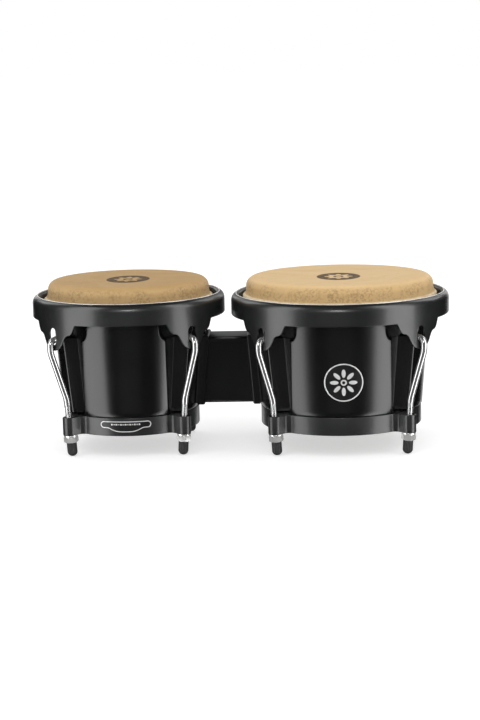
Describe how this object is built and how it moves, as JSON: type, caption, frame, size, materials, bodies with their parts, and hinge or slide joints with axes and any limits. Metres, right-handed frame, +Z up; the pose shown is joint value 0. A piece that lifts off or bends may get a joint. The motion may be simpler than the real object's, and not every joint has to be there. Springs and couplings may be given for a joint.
{
  "type": "bongo drums",
  "caption": "Pair of tapered hand drums with skin heads, scalloped steel rims, hook tuning rods and a hollow block that joins them.",
  "frame": {"origin": "middle of the footprint, on the plane that the eight rubber tips stand on", "axes": "+Z up; X through both drums with the small drum (macho) at -X and the large one (hembra) at +X; -Y is the player's side, where the badge and the label are"},
  "size_m": [0.425, 0.2218, 0.1728],
  "materials": {
    "shell_abs": "moulded ABS, satin-gloss black",
    "coated_steel": "satin black powder coat on pressed steel",
    "block_abs": "moulded ABS, fine-grained black",
    "skin": "natural hide, matt, mottled tan",
    "chrome": "bright chrome plate",
    "zinc_steel": "zinc plated",
    "rubber": "matt black rubber",
    "label_metal": "satin silver with a black field"
  },
  "bodies": {
    "drums": {"center_block": "block_abs", "macho_shell": "shell_abs", "macho_head": "skin", "macho_bottom_ring": "coated_steel", "macho_block_gasket": "rubber", "macho_washer_1": "chrome", "macho_washer_2": "chrome", "macho_washer_3": "chrome", "macho_washer_4": "chrome", "macho_block_bolt_1": "zinc_steel", "macho_block_bolt_2": "zinc_steel", "macho_block_nut_1": "zinc_steel", "macho_block_nut_2": "zinc_steel", "ring_label": "label_metal", "hembra_shell": "shell_abs", "hembra_head": "skin", "hembra_bottom_ring": "coated_steel", "hembra_block_gasket": "rubber", "hembra_washer_1": "chrome", "hembra_washer_2": "chrome", "hembra_washer_3": "chrome", "hembra_washer_4": "chrome", "hembra_block_bolt_1": "zinc_steel", "hembra_block_bolt_2": "zinc_steel", "hembra_block_nut_1": "zinc_steel", "hembra_block_nut_2": "zinc_steel", "shell_badge": "label_metal"},
    "macho_tuning": {"macho_rim": "coated_steel", "macho_flesh_hoop": "zinc_steel", "macho_hook_1": "chrome", "macho_hook_2": "chrome", "macho_hook_3": "chrome", "macho_hook_4": "chrome", "macho_foot_1": "rubber", "macho_foot_2": "rubber", "macho_foot_3": "rubber", "macho_foot_4": "rubber"},
    "hembra_tuning": {"hembra_rim": "coated_steel", "hembra_flesh_hoop": "zinc_steel", "hembra_hook_1": "chrome", "hembra_hook_2": "chrome", "hembra_hook_3": "chrome", "hembra_hook_4": "chrome", "hembra_foot_1": "rubber", "hembra_foot_2": "rubber", "hembra_foot_3": "rubber", "hembra_foot_4": "rubber"},
    "macho_tuning_nut_1": {"macho_nut_1": "chrome"},
    "macho_tuning_nut_2": {"macho_nut_2": "chrome"},
    "macho_tuning_nut_3": {"macho_nut_3": "chrome"},
    "macho_tuning_nut_4": {"macho_nut_4": "chrome"},
    "hembra_tuning_nut_1": {"hembra_nut_1": "chrome"},
    "hembra_tuning_nut_2": {"hembra_nut_2": "chrome"},
    "hembra_tuning_nut_3": {"hembra_nut_3": "chrome"},
    "hembra_tuning_nut_4": {"hembra_nut_4": "chrome"}
  },
  "joints": [
    {"name": "macho_tuning_slide", "type": "slide", "parent": "drums", "child": "macho_tuning", "axis": [0, 0, -1], "range_m": [0, 0.004]},
    {"name": "hembra_tuning_slide", "type": "slide", "parent": "drums", "child": "hembra_tuning", "axis": [0, 0, -1], "range_m": [0, 0.004]},
    {"name": "macho_nut_turn_1", "type": "hinge", "parent": "drums", "child": "macho_tuning_nut_1", "pos_m": [-0.17109, -0.05674, 0.0146], "axis": [-0.0599, -0.0599, 0.9964], "range_deg": [0, 1134]},
    {"name": "macho_nut_turn_2", "type": "hinge", "parent": "drums", "child": "macho_tuning_nut_2", "pos_m": [-0.05761, -0.05674, 0.0146], "axis": [0.0599, -0.0599, 0.9964], "range_deg": [0, 1134]},
    {"name": "macho_nut_turn_3", "type": "hinge", "parent": "drums", "child": "macho_tuning_nut_3", "pos_m": [-0.05761, 0.05674, 0.0146], "axis": [0.0599, 0.0599, 0.9964], "range_deg": [0, 1134]},
    {"name": "macho_nut_turn_4", "type": "hinge", "parent": "drums", "child": "macho_tuning_nut_4", "pos_m": [-0.17109, 0.05674, 0.0146], "axis": [-0.0599, 0.0599, 0.9964], "range_deg": [0, 1134]},
    {"name": "hembra_nut_turn_1", "type": "hinge", "parent": "drums", "child": "hembra_tuning_nut_1", "pos_m": [0.03593, -0.06572, 0.0146], "axis": [-0.0599, -0.0599, 0.9964], "range_deg": [0, 1134]},
    {"name": "hembra_nut_turn_2", "type": "hinge", "parent": "drums", "child": "hembra_tuning_nut_2", "pos_m": [0.16737, -0.06572, 0.0146], "axis": [0.0599, -0.0599, 0.9964], "range_deg": [0, 1134]},
    {"name": "hembra_nut_turn_3", "type": "hinge", "parent": "drums", "child": "hembra_tuning_nut_3", "pos_m": [0.16737, 0.06572, 0.0146], "axis": [0.0599, 0.0599, 0.9964], "range_deg": [0, 1134]},
    {"name": "hembra_nut_turn_4", "type": "hinge", "parent": "drums", "child": "hembra_tuning_nut_4", "pos_m": [0.03593, 0.06572, 0.0146], "axis": [-0.0599, 0.0599, 0.9964], "range_deg": [0, 1134]}
  ],
  "couplings": [
    {"joint": "macho_nut_turn_1", "follows": "macho_tuning_slide", "rad_per_m": 4947.4},
    {"joint": "macho_nut_turn_2", "follows": "macho_tuning_slide", "rad_per_m": 4947.4},
    {"joint": "macho_nut_turn_3", "follows": "macho_tuning_slide", "rad_per_m": 4947.4},
    {"joint": "macho_nut_turn_4", "follows": "macho_tuning_slide", "rad_per_m": 4947.4},
    {"joint": "hembra_nut_turn_1", "follows": "hembra_tuning_slide", "rad_per_m": 4947.4},
    {"joint": "hembra_nut_turn_2", "follows": "hembra_tuning_slide", "rad_per_m": 4947.4},
    {"joint": "hembra_nut_turn_3", "follows": "hembra_tuning_slide", "rad_per_m": 4947.4},
    {"joint": "hembra_nut_turn_4", "follows": "hembra_tuning_slide", "rad_per_m": 4947.4}
  ]
}
